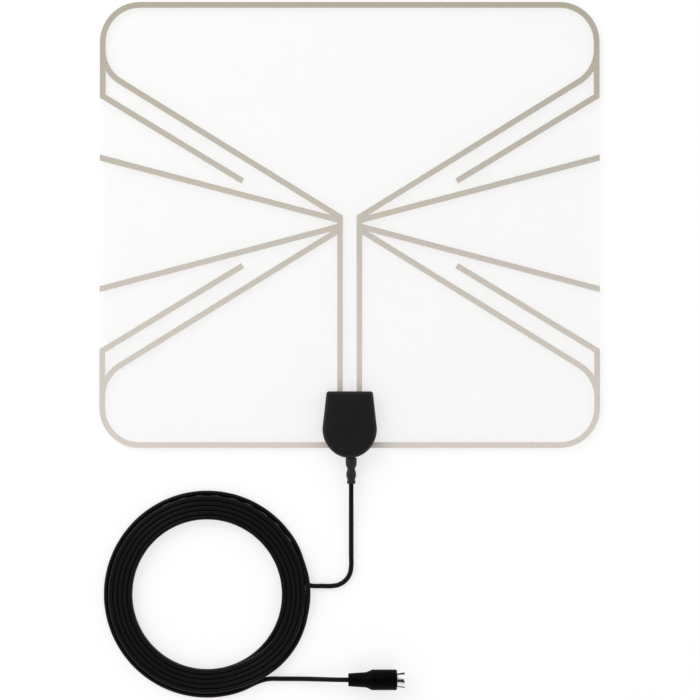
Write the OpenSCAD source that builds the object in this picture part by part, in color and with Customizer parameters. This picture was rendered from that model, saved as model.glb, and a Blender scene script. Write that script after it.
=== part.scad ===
// A flat indoor television aerial: a clear film with a printed element, a small
// moulded housing over the film's lower edge, and a thin coaxial cable that is
// coiled on the table and ends in a push-on plug. Millimetres, +Z up. The film
// lies flat with its printed face up, and the table is z = 0. The origin is
// under the middle of the film and housing together.

/* [Film] */
// Width of the clear film
film_w = 335; // [300:1:380]
// Height of the clear film
film_h = 299; // [280:1:330]
// Thickness of the clear film
film_t = 0.5; // [0.3:0.05:0.8]
// Radius of the film's corners
film_r = 27; // [20:0.5:32]

/* [Printed element] */
// Width of a printed line
line_w = 3.9; // [3:0.1:4.5]
// Thickness of the print
print_t = 0.1; // [0.05:0.01:0.15]
// Bare film between the film's edge and the print
print_margin = 0.1; // [0.05:0.05:0.5]
// Width of the two lines that run down into the housing
feed_w = 3.7; // [3:0.1:4.2]
// Bare gap between those two lines
feed_gap = 9.2; // [8:0.1:11]
// How far the arms' middle lies above the film's middle
pattern_rise = 0.9; // [0:0.1:3]
// Height of an outer arm's line where it meets the film's side
outer_side = 102.4; // [96:0.2:108]
// Height of an outer arm's line at the feed line
outer_hub = 4.1; // [3:0.1:5.5]
// Radius of the bend where an outer arm leaves the film's side
outer_bend = 24.8; // [20:0.2:28]
// Height of a short arm's line where it starts at the film's side
short_side = 85.3; // [80:0.2:90]
// Height of a short arm's free end
short_end = 28.3; // [24:0.2:32]
// Distance of a short arm's free end from the middle
short_reach = 71.6; // [60:0.2:90]
// Height of a middle arm's line at the film's side
middle_side = 43.6; // [38:0.2:50]
// Height of a middle arm's line at the feed line
middle_hub = 1.9; // [1.5:0.1:2.5]

/* [Housing] */
// Width of the housing at its straight top edge
housing_top_w = 31.2; // [28:0.2:34]
// Greatest width of the housing
housing_w = 36.4; // [34.5:0.1:40]
// Height of the housing along the film
housing_h = 44.4; // [43:0.2:50]
// Thickness of the housing, back and front together
housing_t = 12; // [11.6:0.1:15]
// Height of the rounded lower end
bow_h = 19.6; // [16:0.2:21]
// Length of the housing that stands past the film's lower edge
overhang = 6.4; // [5.6:0.1:7]
// Radius of the two upper corners
corner_r = 1.8; // [1:0.1:3]
// Radius of the front's edge
edge_r = 2.4; // [2:0.1:3]
// Extra height of the front's gently domed face
crown = 0.9; // [0.5:0.1:1.2]
// Wall of the front
wall = 1.6; // [1.2:0.1:1.8]
// Thickness of the back cover
back_t = 2; // [1.8:0.1:2.4]

/* [Screws] */
// Radius of a screw boss
boss_r = 2.5; // [2.2:0.1:2.8]
// Radius of a screw's shank
screw_r = 0.9; // [0.7:0.05:1.1]
// Radius of a screw's countersunk head
head_r = 1.8; // [1.6:0.05:2]
// Length of a screw
screw_l = 7; // [5:0.5:8]
// Distance of the upper boss from the housing's top edge
upper_boss = 5.5; // [5:0.1:6]
// Distance of the lower bosses from the housing's lower end
lower_boss = 15; // [14.5:0.1:16]
// Distance of a lower boss from the middle
boss_x = 11.5; // [10.5:0.1:12]

/* [Board] */
// Width of the matching board
board_w = 23; // [20:0.5:25]
// Height of the matching board
board_h = 15; // [14:0.5:15.5]
// Thickness of the matching board
board_t = 1; // [0.8:0.1:1.2]
// Distance of the board from the housing's top edge
board_drop = 10; // [9:0.1:10.5]
// Height of a contact spring
contact_h = 1.2; // [1:0.1:1.6]
// Width of a contact spring
contact_w = 2.6; // [2:0.1:3.2]
// Radius of the board's holding posts
post_r = 1.1; // [0.8:0.1:1.3]
// Radius of the ferrite ring, to the middle of its section
ring_r = 3.4; // [3:0.1:3.6]
// Radius of the ferrite ring's section
ring_section = 1.5; // [1.2:0.1:1.6]
// Radius of the enamelled wire
wire_r = 0.2; // [0.15:0.05:0.25]

/* [Cable] */
// Radius of the cable's jacket
cable_r = 1.6; // [1.4:0.1:1.8]
// Radius of the cable's inner insulation
insulation_r = 0.9; // [0.7:0.05:1]
// Radius of the cable's copper core
core_r = 0.2; // [0.15:0.05:0.3]
// Height of the cable's middle where it leaves the housing
cable_z = 5; // [4.8:0.1:5.2]
// How far right of the housing's middle the cable leaves it
cable_x = 1; // [0:0.1:1.5]
// Radius of the strain relief's first bead
bead_r = 3.7; // [3.4:0.1:4]
// Radius of the strain relief's second bead
bead2_r = 3.3; // [3:0.1:3.4]
// Radius of the strain relief's end ring
tip_r = 2.9; // [2.7:0.05:3]
// Radius of the strain relief's necks
neck_r = 2.6; // [2.4:0.05:2.7]
// Length of the strain relief outside the housing
relief_l = 17.3; // [16:0.1:20]
// Radius of the groove that the housing's wall sits in
groove_r = 2.9; // [2.6:0.05:3]
// Width of the strain relief's inner flange
flange_w = 9; // [8:0.5:10]
// Thickness of the strain relief's inner flange
flange_t = 1.6; // [1.2:0.1:2]

/* [Coil] */
// Inner radius of the coiled cable
coil_r = 49.9; // [46:0.1:52]
// Number of turns side by side
coil_turns = 6; // [4:1:7]
// Number of layers
coil_layers = 2; // [1:1:3]

/* [Plug] */
// Radius of the plug's grip
grip_r = 6.85; // [6.4:0.05:7.4]
// Length of the plug's grip, with its rounded ends
grip_l = 16.5; // [14:0.5:20]
// Length of the step down from the grip
step_l = 4; // [3:0.5:6]
// Radius of the rear stem where the cable enters
stem_r = 4.35; // [4:0.05:4.8]
// Radius of the rear stem where it meets the step
stem_r2 = 5.1; // [4.9:0.05:5.6]
// Length of the rear stem
stem_l = 12; // [10:0.5:16]
// Length of the metal collar outside the grip
collar_l = 5.2; // [4:0.1:7]
// Outer radius of the collar at the grip
collar_r = 4.7; // [4.4:0.05:5]
// Outer radius of the collar's splayed mouth
mouth_r = 5.45; // [5.1:0.05:6]
// Wall of the collar
collar_wall = 0.4; // [0.3:0.05:0.5]
// Number of slots in the collar
slots = 6; // [4:1:8]
// Width of a slot
slot_w = 0.9; // [0.6:0.1:1.2]
// Radius of the centre pin's free end
pin_r = 0.5; // [0.4:0.05:0.6]
// Radius of the centre pin inside the insulator
pin_root_r = 0.7; // [0.65:0.05:0.9]

/* [Hidden] */
$fn = 64;
round_fn = 32;      // segments of the circles inside a hull
fine_fn = 24;       // segments round a wire or a small arc
bend_steps = 14;    // straight steps in an outer arm's bend

seat = 0.05;        // gap between pieces that seat on each other
loose = 0.3;        // gap round pieces that drop over each other
thin = 0.01;        // thickness of a slice that a hull passes through
beyond = 1;         // how far a cut runs past what it cuts

// Heights, from the table up
film_z = back_t;
print_z = film_z + film_t;
front_z = print_z + print_t;
board_z = front_z + contact_h;
board_top = board_z + board_t;
edge_z = housing_t - crown;
ceiling = edge_z - wall;
post_top = ceiling + wall / 2;

// Places along the film
house_low = -(film_h + overhang) / 2;
house_top = house_low + housing_h;
film_low = house_low + overhang;
film_mid = film_low + film_h / 2;
arms_mid = film_mid + pattern_rise;
bow_mid = house_low + bow_h;
board_up = house_top - board_drop;
board_mid = board_up - board_h / 2;

// Printed lines
side_x = film_w / 2 - print_margin - line_w / 2;
feed_x = (feed_gap + feed_w) / 2;
feed_in = feed_gap / 2;
contact_in = 3;     // from the board's upper edge down to the contacts
feed_past = 2;      // how far the feed lines run past the contacts
contact_y = board_up - contact_in;
feed_end = contact_y - feed_past;
bend_turn = 90 - atan2(outer_side - outer_hub, side_x - feed_x);
bend_y = outer_side + outer_bend * tan(bend_turn / 2);
short_slope = (short_side - short_end) / (side_x - short_reach);

// Bosses: each is [x, y]
bosses = [
    [0, house_top - upper_boss],
    [-boss_x, house_low + lower_boss],
    [boss_x, house_low + lower_boss]
];
head_h = head_r - screw_r;
pilot_past = 0.5;   // depth of a boss's bore past its screw
pilot_top = screw_l + pilot_past;

// Strain relief: how far a bow of half-width a and height b has risen at x
function bow_rise(x, a, b) = b * (1 - sqrt(max(0, 1 - pow(x / a, 2))));
flange_x = cable_x + flange_w / 2;
flange_y = house_low + wall + seat
    + bow_rise(flange_x, housing_w / 2 - wall, bow_h - wall);
relief_end = house_low - relief_l;
jacket_start = relief_end + 2 * seat;
bead_l = 0.4 * relief_l;
bead2_l = 0.36 * relief_l;
tip_l = 0.12 * relief_l;

// Stripped end of the cable inside the housing
jacket_end = house_low + lower_boss;
insulation_gap = 0.8;
core_bare = 3.2;
braid_t = 0.3;
insulation_end = board_up - board_h - insulation_gap;
core_end = insulation_end + core_bare;
braid_r = insulation_r + braid_t;
braid_l = 2.2;
core_z = board_top + core_r;

// Ferrite ring and its two windings
turn_r = ring_section + wire_r + seat;
ring_z = board_top + turn_r + wire_r + seat;
ring_gap = 0.4;     // from the windings to the board's upper edge
ring_y = board_up - ring_r - turn_r - wire_r - ring_gap;
turns_in_winding = 4;
turn_step = 26;

// Coil, and the place of its middle on the table
coil_slack = 0.1;
coil_out = coil_r + coil_turns * 2 * cable_r + coil_slack;
coil_h = coil_layers * 2 * cable_r;
coil_x = -95.2;
coil_y = -243.8;

// Route of the cable from the strain relief down to the table and to the coil
lead_points = [
    [1, -170, 5], [1, -176, 4.8], [1, -183, 4], [1, -190, 2.9], [1, -197, 2],
    [1, -204, 1.6], [1, -211, 1.6], [1, -218, 1.6], [1, -225.4, 1.6],
    [0, -230.4, 1.6], [-2.8, -234.6, 1.6], [-7, -237.4, 1.6], [-12, -238.4, 1.6],
    [-19, -238.4, 1.6], [-26, -238.4, 1.6]
];
// Route of the cable from the coil to the plug
plug_points = [
    [-62.4, -302.9, 1.6], [-57.8, -301.1, 1.6], [-52.7, -300.3, 1.6], [-46, -300.3, 1.6],
    [-39, -300.3, 1.6], [-32, -300.3, 2], [-25, -300.3, 3], [-18, -300.3, 4.5],
    [-11, -300.3, 6], [-6, -300.3, 6.7], [-1.1, -300.3, 6.85]
];
cable_sides = 8;

// Plug, lying on the table with its axis along X
plug_x = -1;
plug_y = -300.3;
plug_z = grip_r;
grip_round = 1.2;
plug_face = stem_l + step_l + grip_l;
shank_l = 6.5;      // length of the collar inside the grip
collar_lip = 1;     // width and thickness of the lip that holds the collar
insulator_l = 5.5;
insulator_back = 1;
pin_behind = 2;     // how far the pin reaches back past the collar's shank
pin_inset = 0.5;    // from the collar's mouth back to the pin's tip
pin_root = plug_face - shank_l - pin_behind;
pin_tip = plug_face + collar_l - pin_inset;
pin_point = 0.6;
pin_cone = 0.3;     // length of the cone between the pin's two radii
insulator_front = plug_face - insulator_back;

// Points of an arc, for an outline
function arc(x, y, r, from, to, n = 6) =
    [for (i = [0:n]) let (a = from + (to - from) * i / n) [x + r * cos(a), y + r * sin(a)]];

// A flat rectangle with round corners, about its own middle
module round_rect(w, h, r) {
    square([w - 2 * r, h], center = true);
    square([w, h - 2 * r], center = true);
    for (x = [-1, 1], y = [-1, 1])
        translate([x * (w / 2 - r), y * (h / 2 - r)]) circle(r);
}

// The film's outline, drawn in by a margin
module film_outline(margin = 0) {
    translate([0, film_mid])
        round_rect(film_w - 2 * margin, film_h - 2 * margin, film_r - margin);
}

// A straight printed line from a to b, which can run on past its ends
module line(a, b, w, before = 0, after = 0) {
    run = b - a;
    translate(a) rotate(atan2(run.y, run.x)) translate([-before, -w / 2])
        square([norm(run) + before + after, w]);
}

// An outer arm with the bend where it leaves the film's side, as one
// anticlockwise outline that starts inside the side's line
module outer_arm() {
    bend_mid = [side_x - outer_bend, bend_y];
    bend_end = bend_mid + outer_bend * [cos(bend_turn), -sin(bend_turn)];
    run = [feed_x, outer_hub] - bend_end;
    along = run / norm(run);
    across = line_w / 2 * [-along.y, along.x];
    tip = [feed_x, outer_hub] + feed_w * along;
    first = -bend_turn / bend_steps;
    polygon(concat(
        [[side_x, bend_y + line_w]],
        arc(bend_mid.x, bend_mid.y, outer_bend - line_w / 2, first, -bend_turn, bend_steps - 1),
        [tip - across, tip + across],
        arc(bend_mid.x, bend_mid.y, outer_bend + line_w / 2, -bend_turn, first, bend_steps - 1)
    ));
}

// The arms of one quarter of the element: right half, above the arms' middle
module quarter_arms() {
    outer_arm();
    line([side_x, short_side], [short_reach, short_end], line_w, before = line_w);
    line([side_x, middle_side], [feed_x, middle_hub], line_w, before = line_w, after = feed_w);
}

// The bare stretch of the film's side, from one short arm's middle line to the other's
module bare_side() {
    fall = line_w * short_slope;
    polygon([for (p = [[-1, 1], [1, 1], [1, -1], [-1, -1]])
        [side_x + p.x * line_w, p.y * (short_side + p.x * fall)]]);
}

module element_pattern() {
    difference() {
        film_outline(print_margin);
        film_outline(print_margin + line_w);
        translate([0, arms_mid]) for (side = [0, 1]) mirror([side, 0]) bare_side();
    }
    intersection() {
        film_outline(print_margin);
        for (side = [0, 1]) mirror([side, 0]) intersection() {
            union() {
                translate([0, arms_mid]) for (up = [0, 1]) mirror([0, up]) quarter_arms();
                translate([0, feed_end])
                    square([feed_in + feed_w, arms_mid + outer_hub - feed_end]);
            }
            translate([feed_in, -film_h]) square([film_w, 2 * film_h]);
        }
    }
}

module film_sheet() {
    color([0.96, 0.97, 0.98, 0.35]) translate([0, 0, film_z]) linear_extrude(film_t)
        difference() {
            film_outline();
            for (b = bosses) translate(b) circle(boss_r + loose);
        }
}

module antenna_element() {
    color([0.76, 0.73, 0.68]) translate([0, 0, print_z]) linear_extrude(print_t)
        difference() {
            element_pattern();
            for (b = bosses) translate(b) circle(boss_r + loose);
        }
}

// The housing's outline drawn in by an inset: a straight top edge with round
// corners, and a half ellipse below
module housing_outline(inset = 0) {
    a = housing_w / 2 - inset;
    b = bow_h - inset;
    r = max(corner_r - inset, 0.2);
    polygon([for (t = [0:6:180]) [a * cos(t), bow_mid - b * sin(t)]]);
    for (side = [-1, 1])
        translate([side * (housing_top_w / 2 - inset - r), house_top - inset - r])
            circle(r, $fn = round_fn);
}

// The front's outer form: upright sides, a round edge and a gently domed face
module front_form() {
    level = 2;          // half width of the level middle of the face
    rise_w = housing_top_w / 2 - edge_r - level;
    lean = 90 - atan(2 * crown / rise_w);
    hull() {
        translate([0, 0, front_z]) linear_extrude(thin) housing_outline();
        for (a = [0:lean / 4:lean])
            translate([0, 0, edge_z - edge_r + edge_r * sin(a)])
                linear_extrude(thin) housing_outline(edge_r * (1 - cos(a)));
        for (f = [0.3, 0.6, 1])
            translate([0, 0, edge_z + crown * (1 - pow(1 - f, 2)) - thin])
                linear_extrude(thin) housing_outline(edge_r + rise_w * f);
    }
}

// The hollow inside the front, with a flat ceiling
module front_hollow() {
    translate([0, 0, front_z - beyond]) linear_extrude(ceiling - front_z + beyond)
        hull() housing_outline(wall);
}

// The slot that the strain relief's groove sits in, open towards the back
module relief_slot() {
    r = groove_r + seat;
    translate([cable_x, house_low + wall + 2 * beyond, cable_z]) rotate([90, 0, 0])
        linear_extrude(wall + 3 * beyond) {
            circle(r);
            translate([-r, back_t + seat - cable_z]) square([2 * r, cable_z - back_t - seat]);
        }
}

module housing_front() {
    post_x = board_w / 2 - 2 * post_r;
    post_y = board_mid - 1;
    color([0.13, 0.13, 0.13]) difference() {
        union() {
            difference() {
                front_form();
                front_hollow();
            }
            for (b = bosses) translate([b.x, b.y, back_t + seat])
                cylinder(r = boss_r, h = post_top - back_t - seat);
            for (side = [-1, 1])
                translate([side * post_x, post_y, board_top + seat])
                    cylinder(r = post_r, h = post_top - board_top - seat);
        }
        for (b = bosses) translate([b.x, b.y, 0])
            cylinder(r = screw_r + seat, h = pilot_top);
        relief_slot();
    }
}

module housing_back() {
    chamfer = 0.5;
    color([0.12, 0.12, 0.12]) difference() {
        union() {
            hull() {
                linear_extrude(thin) housing_outline(chamfer);
                translate([0, 0, chamfer]) linear_extrude(back_t - chamfer) housing_outline();
            }
            difference() {
                intersection() {
                    linear_extrude(print_z) hull() housing_outline();
                    translate([-film_w / 2, house_low - beyond, chamfer])
                        cube([film_w, overhang + beyond - loose, housing_t]);
                }
                translate([0, 0, back_t]) linear_extrude(housing_t) hull() housing_outline(wall);
                linear_extrude(back_t / 2) hull() housing_outline(-beyond);
            }
        }
        for (b = bosses) translate([b.x, b.y, -thin]) {
            cylinder(r = screw_r + loose, h = back_t + 1);
            cylinder(r1 = head_r + seat + thin, r2 = screw_r + seat, h = head_h + thin);
        }
        relief_slot();
    }
}

// A countersunk screw with a cross recess, head down
module screw() {
    recess = 0.4 * head_r;
    point = 1;
    difference() {
        union() {
            cylinder(r1 = head_r, r2 = screw_r, h = head_h);
            cylinder(r = screw_r, h = screw_l - point);
            translate([0, 0, screw_l - point])
                cylinder(r1 = screw_r, r2 = screw_r / 2, h = point);
        }
        for (turn = [0, 90]) rotate(turn)
            translate([-head_r * 0.6, -recess / 4, -beyond])
                cube([head_r * 1.2, recess / 2, beyond + head_h / 2]);
    }
}

module housing_screws() {
    color([0.7, 0.7, 0.72]) for (b = bosses) translate([b.x, b.y, seat]) screw();
}

module balun_board() {
    corner = 1;
    color([0.1, 0.35, 0.2]) translate([0, board_mid, board_z]) linear_extrude(board_t)
        round_rect(board_w, board_h, corner);
}

// A bent strip spring between the board's underside and a feed line
module contact_spring(side) {
    t = 0.2;
    h = contact_h - 2 * seat;
    pad = 1.8;
    lean = 1.2;
    color([0.85, 0.65, 0.3]) translate([side * feed_x - contact_w / 2, contact_y, front_z + seat])
        rotate([90, 0, 90]) linear_extrude(contact_w) polygon([
            [-pad, h - t], [0, h - t], [lean - t, t], [lean - t, 0],
            [lean + pad / 2, 0], [lean + pad / 2 + t, 2 * t], [lean + pad / 2, 2 * t],
            [lean + pad / 3, t], [lean + t, t], [t, h], [-pad, h]
        ]);
}

module ferrite_ring() {
    color([0.25, 0.24, 0.24]) translate([0, ring_y, ring_z])
        rotate_extrude() translate([ring_r, 0]) circle(ring_section);
}

// Two short windings, each of a few turns of enamelled wire round the ring
module ring_winding() {
    color([0.72, 0.36, 0.16]) translate([0, ring_y, ring_z])
        for (side = [0, 180], i = [0:turns_in_winding - 1])
            rotate(side + turn_step * (i - (turns_in_winding - 1) / 2))
                translate([ring_r, 0, 0]) rotate([90, 0, 0])
                    rotate_extrude($fn = fine_fn) translate([turn_r, 0])
                        circle(wire_r, $fn = 16);
}

// Half section of a bead of a strain relief, l long, round between its two ends
module bead(at, l, r_end, r_mid) {
    bulge = r_mid - r_end;
    big = (l * l / 4 + bulge * bulge) / (2 * bulge);
    translate([0, at]) intersection() {
        translate([r_mid - big, l / 2]) circle(big, $fn = 128);
        square([r_mid, l]);
    }
}

// The moulded strain relief about its own axis, from its free end upwards
module relief_beads() {
    bore = cable_r + seat;
    gap = (relief_l - bead_l - bead2_l - tip_l) / 2;
    rotate_extrude() difference() {
        union() {
            square([neck_r, relief_l]);
            bead(0, tip_l, neck_r, tip_r);
            bead(tip_l + gap, bead2_l, neck_r, bead2_r);
            translate([0, relief_l - bead_l]) {
                bead(0, bead_l, neck_r, bead_r);
                translate([0, bead_l / 2]) square([bead_r, bead_l / 2 + overhang / 4]);
            }
        }
        translate([-beyond, -beyond]) square([bore + beyond, 2 * relief_l]);
    }
}

module strain_relief() {
    color([0.2, 0.19, 0.18]) {
        difference() {
            translate([cable_x, relief_end, cable_z]) rotate([-90, 0, 0]) relief_beads();
            linear_extrude(housing_t) hull() housing_outline(-seat);
        }
        difference() {
            union() {
                translate([cable_x, house_low - bead_l / 2, cable_z]) rotate([-90, 0, 0])
                    cylinder(r = groove_r, h = flange_y + flange_t / 2 - house_low + bead_l / 2);
                translate([cable_x - flange_w / 2, flange_y, back_t + seat])
                    cube([flange_w, flange_t, 2 * (cable_z - back_t - seat)]);
            }
            translate([cable_x, relief_end, cable_z]) rotate([-90, 0, 0])
                cylinder(r = cable_r + seat, h = 2 * relief_l);
        }
    }
}

// A stretch of a round thing along +Y from y0 to y1, on the cable's axis
module along_cable(y0, y1, r, z = cable_z) {
    translate([cable_x, y0, z]) rotate([-90, 0, 0]) cylinder(r = r, h = y1 - y0);
}

module cable_jacket_end() {
    color([0.06, 0.06, 0.06]) difference() {
        along_cable(jacket_start, jacket_end, cable_r);
        along_cable(relief_end - beyond, jacket_end + beyond, insulation_r + seat);
    }
}

module cable_braid() {
    tail_r = 0.35;
    tail_past = 2;
    tail_l = insulation_end - jacket_end + tail_past;
    color([0.75, 0.74, 0.72]) {
        difference() {
            along_cable(jacket_end, jacket_end + braid_l, braid_r);
            along_cable(jacket_end - beyond, jacket_end + braid_l + beyond, insulation_r + seat);
        }
        translate([cable_x + insulation_r + seat + tail_r, jacket_end + braid_l / 2,
                   board_top + tail_r])
            rotate([-90, 0, 0]) cylinder(r = tail_r, h = tail_l, $fn = fine_fn);
    }
}

module cable_insulation() {
    color([0.93, 0.93, 0.9]) difference() {
        along_cable(jacket_start, insulation_end, insulation_r);
        along_cable(relief_end - beyond, insulation_end + beyond, core_r + seat, core_z);
    }
}

module cable_core() {
    color([0.78, 0.45, 0.25]) along_cable(jacket_start, core_end, core_r, core_z);
}

// A round cable swept through points, as one closed solid with flat ends
module cable_tube(points, r) {
    n = len(points);
    function way(i) = let (d = points[min(i + 1, n - 1)] - points[max(i - 1, 0)]) d / norm(d);
    function ring(i) =
        let (t = way(i), c = cross(t, [0, 0, 1]), s = c / norm(c), u = cross(s, t))
        [for (k = [0:cable_sides - 1]) let (a = 360 * k / cable_sides)
            points[i] + r * (cos(a) * s + sin(a) * u)];
    polyhedron(
        points = [for (i = [0:n - 1]) each ring(i)],
        faces = concat(
            [[for (k = [0:cable_sides - 1]) k]],
            [[for (k = [cable_sides - 1:-1:0]) (n - 1) * cable_sides + k]],
            [for (i = [0:n - 2], k = [0:cable_sides - 1])
                let (a = i * cable_sides + k, b = i * cable_sides + (k + 1) % cable_sides)
                [b, a, a + cable_sides, b + cable_sides]]
        ),
        convexity = 4
    );
}

module cable_lead() {
    color([0.06, 0.06, 0.06]) cable_tube(lead_points, cable_r);
}

module plug_lead() {
    color([0.06, 0.06, 0.06]) cable_tube(plug_points, cable_r);
}

// The outer shape of the coiled cable
module cable_coil() {
    color([0.09, 0.09, 0.09]) translate([coil_x, coil_y, coil_h / 2])
        rotate_extrude($fn = 128) translate([(coil_r + coil_out) / 2, 0])
            round_rect(coil_out - coil_r, coil_h, cable_r);
}

// Turns a piece drawn round +Z so that it lies on the plug's axis
module on_plug() {
    translate([plug_x, plug_y, plug_z]) rotate([0, 90, 0]) children();
}

module plug_body() {
    round_end = 0.6;
    pocket = plug_face - shank_l;
    color([0.04, 0.04, 0.04]) on_plug() difference() {
        rotate_extrude() polygon(concat(
            [[0, 0]],
            arc(stem_r - round_end, round_end, round_end, -90, 0),
            [[stem_r2, stem_l]],
            arc(grip_r - grip_round, stem_l + step_l, grip_round, -45, 0),
            arc(grip_r - grip_round, plug_face - grip_round, grip_round, 0, 90),
            [[0, plug_face]]
        ));
        translate([0, 0, pocket]) cylinder(r = collar_r + seat, h = shank_l + beyond);
        translate([0, 0, pocket - seat])
            cylinder(r = collar_r + collar_lip + seat, h = collar_lip + 2 * seat);
        translate([0, 0, pin_root]) cylinder(r = pin_root_r + seat, h = plug_face);
    }
}

module plug_collar() {
    pocket = plug_face - shank_l;
    mouth = plug_face + collar_l;
    color([0.8, 0.8, 0.8]) on_plug() difference() {
        rotate_extrude() polygon([
            [collar_r - collar_wall, pocket + seat], [collar_r + collar_lip, pocket + seat],
            [collar_r + collar_lip, pocket + collar_lip], [collar_r, pocket + collar_lip],
            [collar_r, plug_face + seat], [mouth_r, mouth],
            [mouth_r - collar_wall, mouth], [collar_r - collar_wall, plug_face + seat]
        ]);
        for (i = [0:slots - 1]) rotate(360 * i / slots)
            translate([0, -slot_w / 2, plug_face + 2 * seat])
                cube([2 * grip_r, slot_w, collar_l + beyond]);
    }
}

module plug_insulator() {
    color([0.95, 0.95, 0.93]) on_plug() difference() {
        translate([0, 0, insulator_front - insulator_l])
            cylinder(r = collar_r - collar_wall - seat, h = insulator_l);
        translate([0, 0, insulator_front - insulator_l - beyond])
            cylinder(r = pin_root_r + seat, h = insulator_l + 2 * beyond);
    }
}

module centre_pin() {
    color([0.85, 0.7, 0.4]) on_plug() rotate_extrude() polygon([
        [0, pin_root + seat], [pin_root_r, pin_root + seat], [pin_root_r, insulator_front],
        [pin_r, insulator_front + pin_cone], [pin_r, pin_tip - pin_point], [pin_r / 3, pin_tip],
        [0, pin_tip]
    ]);
}

film_sheet();
antenna_element();
housing_front();
housing_back();
housing_screws();
balun_board();
contact_spring(-1);  // contact_left
contact_spring(1);  // contact_right
ferrite_ring();
ring_winding();
strain_relief();
cable_jacket_end();
cable_braid();
cable_insulation();
cable_core();
cable_lead();
cable_coil();
plug_lead();
plug_body();
plug_collar();
plug_insulator();
centre_pin();
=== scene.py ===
"""Looks of a flat indoor television aerial: a clear film with a printed element, a small
moulded housing, and a thin coaxial cable that lies coiled and ends in a push-on plug.

Shapes are drawn in millimetres in the part's own frame and scaled to metres once."""

import math

import bmesh
import bpy
from mathutils import Matrix, Vector


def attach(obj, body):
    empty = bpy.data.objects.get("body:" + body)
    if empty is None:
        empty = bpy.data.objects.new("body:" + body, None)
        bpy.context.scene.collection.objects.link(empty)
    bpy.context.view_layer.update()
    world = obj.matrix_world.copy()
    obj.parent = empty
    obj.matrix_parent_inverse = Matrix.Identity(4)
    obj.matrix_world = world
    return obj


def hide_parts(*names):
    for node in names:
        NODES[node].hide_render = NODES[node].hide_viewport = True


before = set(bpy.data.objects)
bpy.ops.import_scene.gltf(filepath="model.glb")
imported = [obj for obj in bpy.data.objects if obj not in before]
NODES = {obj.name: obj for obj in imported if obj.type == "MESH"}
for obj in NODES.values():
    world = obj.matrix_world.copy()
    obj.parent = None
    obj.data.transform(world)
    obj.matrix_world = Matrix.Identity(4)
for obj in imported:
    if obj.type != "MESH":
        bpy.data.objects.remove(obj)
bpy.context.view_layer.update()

bl_info = {
    "name": "Indoor Television Aerial",
    "version": (1, 0, 0),
    "blender": (4, 5, 0),
    "location": "View3D > Sidebar > Aerial",
    "description": "Builds a flat film aerial with its housing, coiled cable and plug",
    "category": "Object",
}

MM = 0.001
BODY = "root"
FULL_TURN = 2 * math.pi
ROUND = 64                # segments round a small turned piece
SAME_POINT = 1e-4         # points nearer than this are one, in millimetres
CREASE = math.radians(32)

# Heights and places that the part's source gives, in millimetres
FRONT_Z = 2.6
PRINT_NEAR = -146.0
PRINT_FAR = 153.0
HOUSE_LOW = -152.7
HOUSE_TOP = -108.3
BOW_MID = -133.1
BOARD_TOP = 4.8
POST_TOP = 10.3
SEAT = 0.05
BOSSES = ((0, -113.8), (-11.5, -137.7), (11.5, -137.7))
CABLE_X = 1.0
CABLE_Z = 5.0
RELIEF_END = -170.0
PLUG_START = (-1.0, -300.3, 6.85)
PLUG_FACE = 32.5          # from the plug's start to the face that the collar leaves
COLLAR_POCKET = 26.0      # from the plug's start to the bottom of the collar's pocket
RELIEF_SLOT = 2.95        # radius of the housing's slot for the relief's groove
VIEW_MIDDLE = (0.2, -80.7, 2.0)

# Cable route out of the strain relief, down to the table and up to the coil
LEAD_POINTS = (
    (1, -170, 5), (1, -176, 4.8), (1, -183, 4), (1, -190, 2.9), (1, -197, 2),
    (1, -204, 1.6), (1, -211, 1.6), (1, -218, 1.6), (1, -225.4, 1.6),
    (0, -230.4, 1.6), (-2.8, -234.6, 1.6), (-7, -237.4, 1.6), (-12, -238.4, 1.6),
    (-19, -238.4, 1.6),
)
# Cable route from the coil to the plug
PLUG_POINTS = (
    (-57.8, -301.1, 1.6), (-52.7, -300.3, 1.6), (-46, -300.3, 1.6),
    (-39, -300.3, 1.6), (-32, -300.3, 2), (-25, -300.3, 3), (-18, -300.3, 4.5),
    (-11, -300.3, 6), (-6, -300.3, 6.7), (-1.1, -300.3, 6.85), (0.6, -300.3, 6.85),
)
COIL_MID = (-95.2, -243.8)


# ---------------------------------------------------------------- user settings

def linear(code):
    """An sRGB hex code as the linear colour that a shader takes."""
    values = [int(code[i:i + 2], 16) / 255 for i in (1, 3, 5)]
    return (*[v / 12.92 if v <= 0.04045 else ((v + 0.055) / 1.055) ** 2.4
              for v in values], 1)


def colour(name, description, code):
    """A colour that the user may change, given as an sRGB hex code."""
    return bpy.props.FloatVectorProperty(
        name=name, description=description, subtype="COLOR", default=linear(code)[:3],
        min=0, max=1)


class AerialStage(bpy.types.PropertyGroup):
    distance: bpy.props.FloatProperty(
        name="Camera Distance", description="From the camera to the middle of the view",
        default=1.5, min=0.5, unit="LENGTH")
    lean: bpy.props.FloatProperty(
        name="Camera Lean", description="How far the camera leans from straight above",
        default=math.radians(0.8), subtype="ANGLE")
    lens: bpy.props.FloatProperty(
        name="Focal Length", description="The camera's focal length",
        default=115.3, min=20, unit="CAMERA")
    sky: bpy.props.FloatProperty(
        name="Surround Light", description="Strength of the soft light from all sides",
        default=0.86, min=0)
    horizon: bpy.props.FloatProperty(
        name="Horizon Light", description="Strength of the light low all round",
        default=1.08, min=0)
    overhead: bpy.props.FloatProperty(
        name="Overhead Light",
        description="Strength of the soft light from straight above",
        default=0.16, min=0)
    key: bpy.props.FloatProperty(
        name="Key Light", description="Power of the large soft lamp at the upper left",
        default=4.6, min=0, unit="POWER")
    glow: bpy.props.FloatProperty(
        name="Floor Glow", description="Light that the white acrylic floor gives off",
        default=0.64, min=0)
    floor_colour: colour("Floor", "The floor's colour under its glow", "#bcbcbc")


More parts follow.
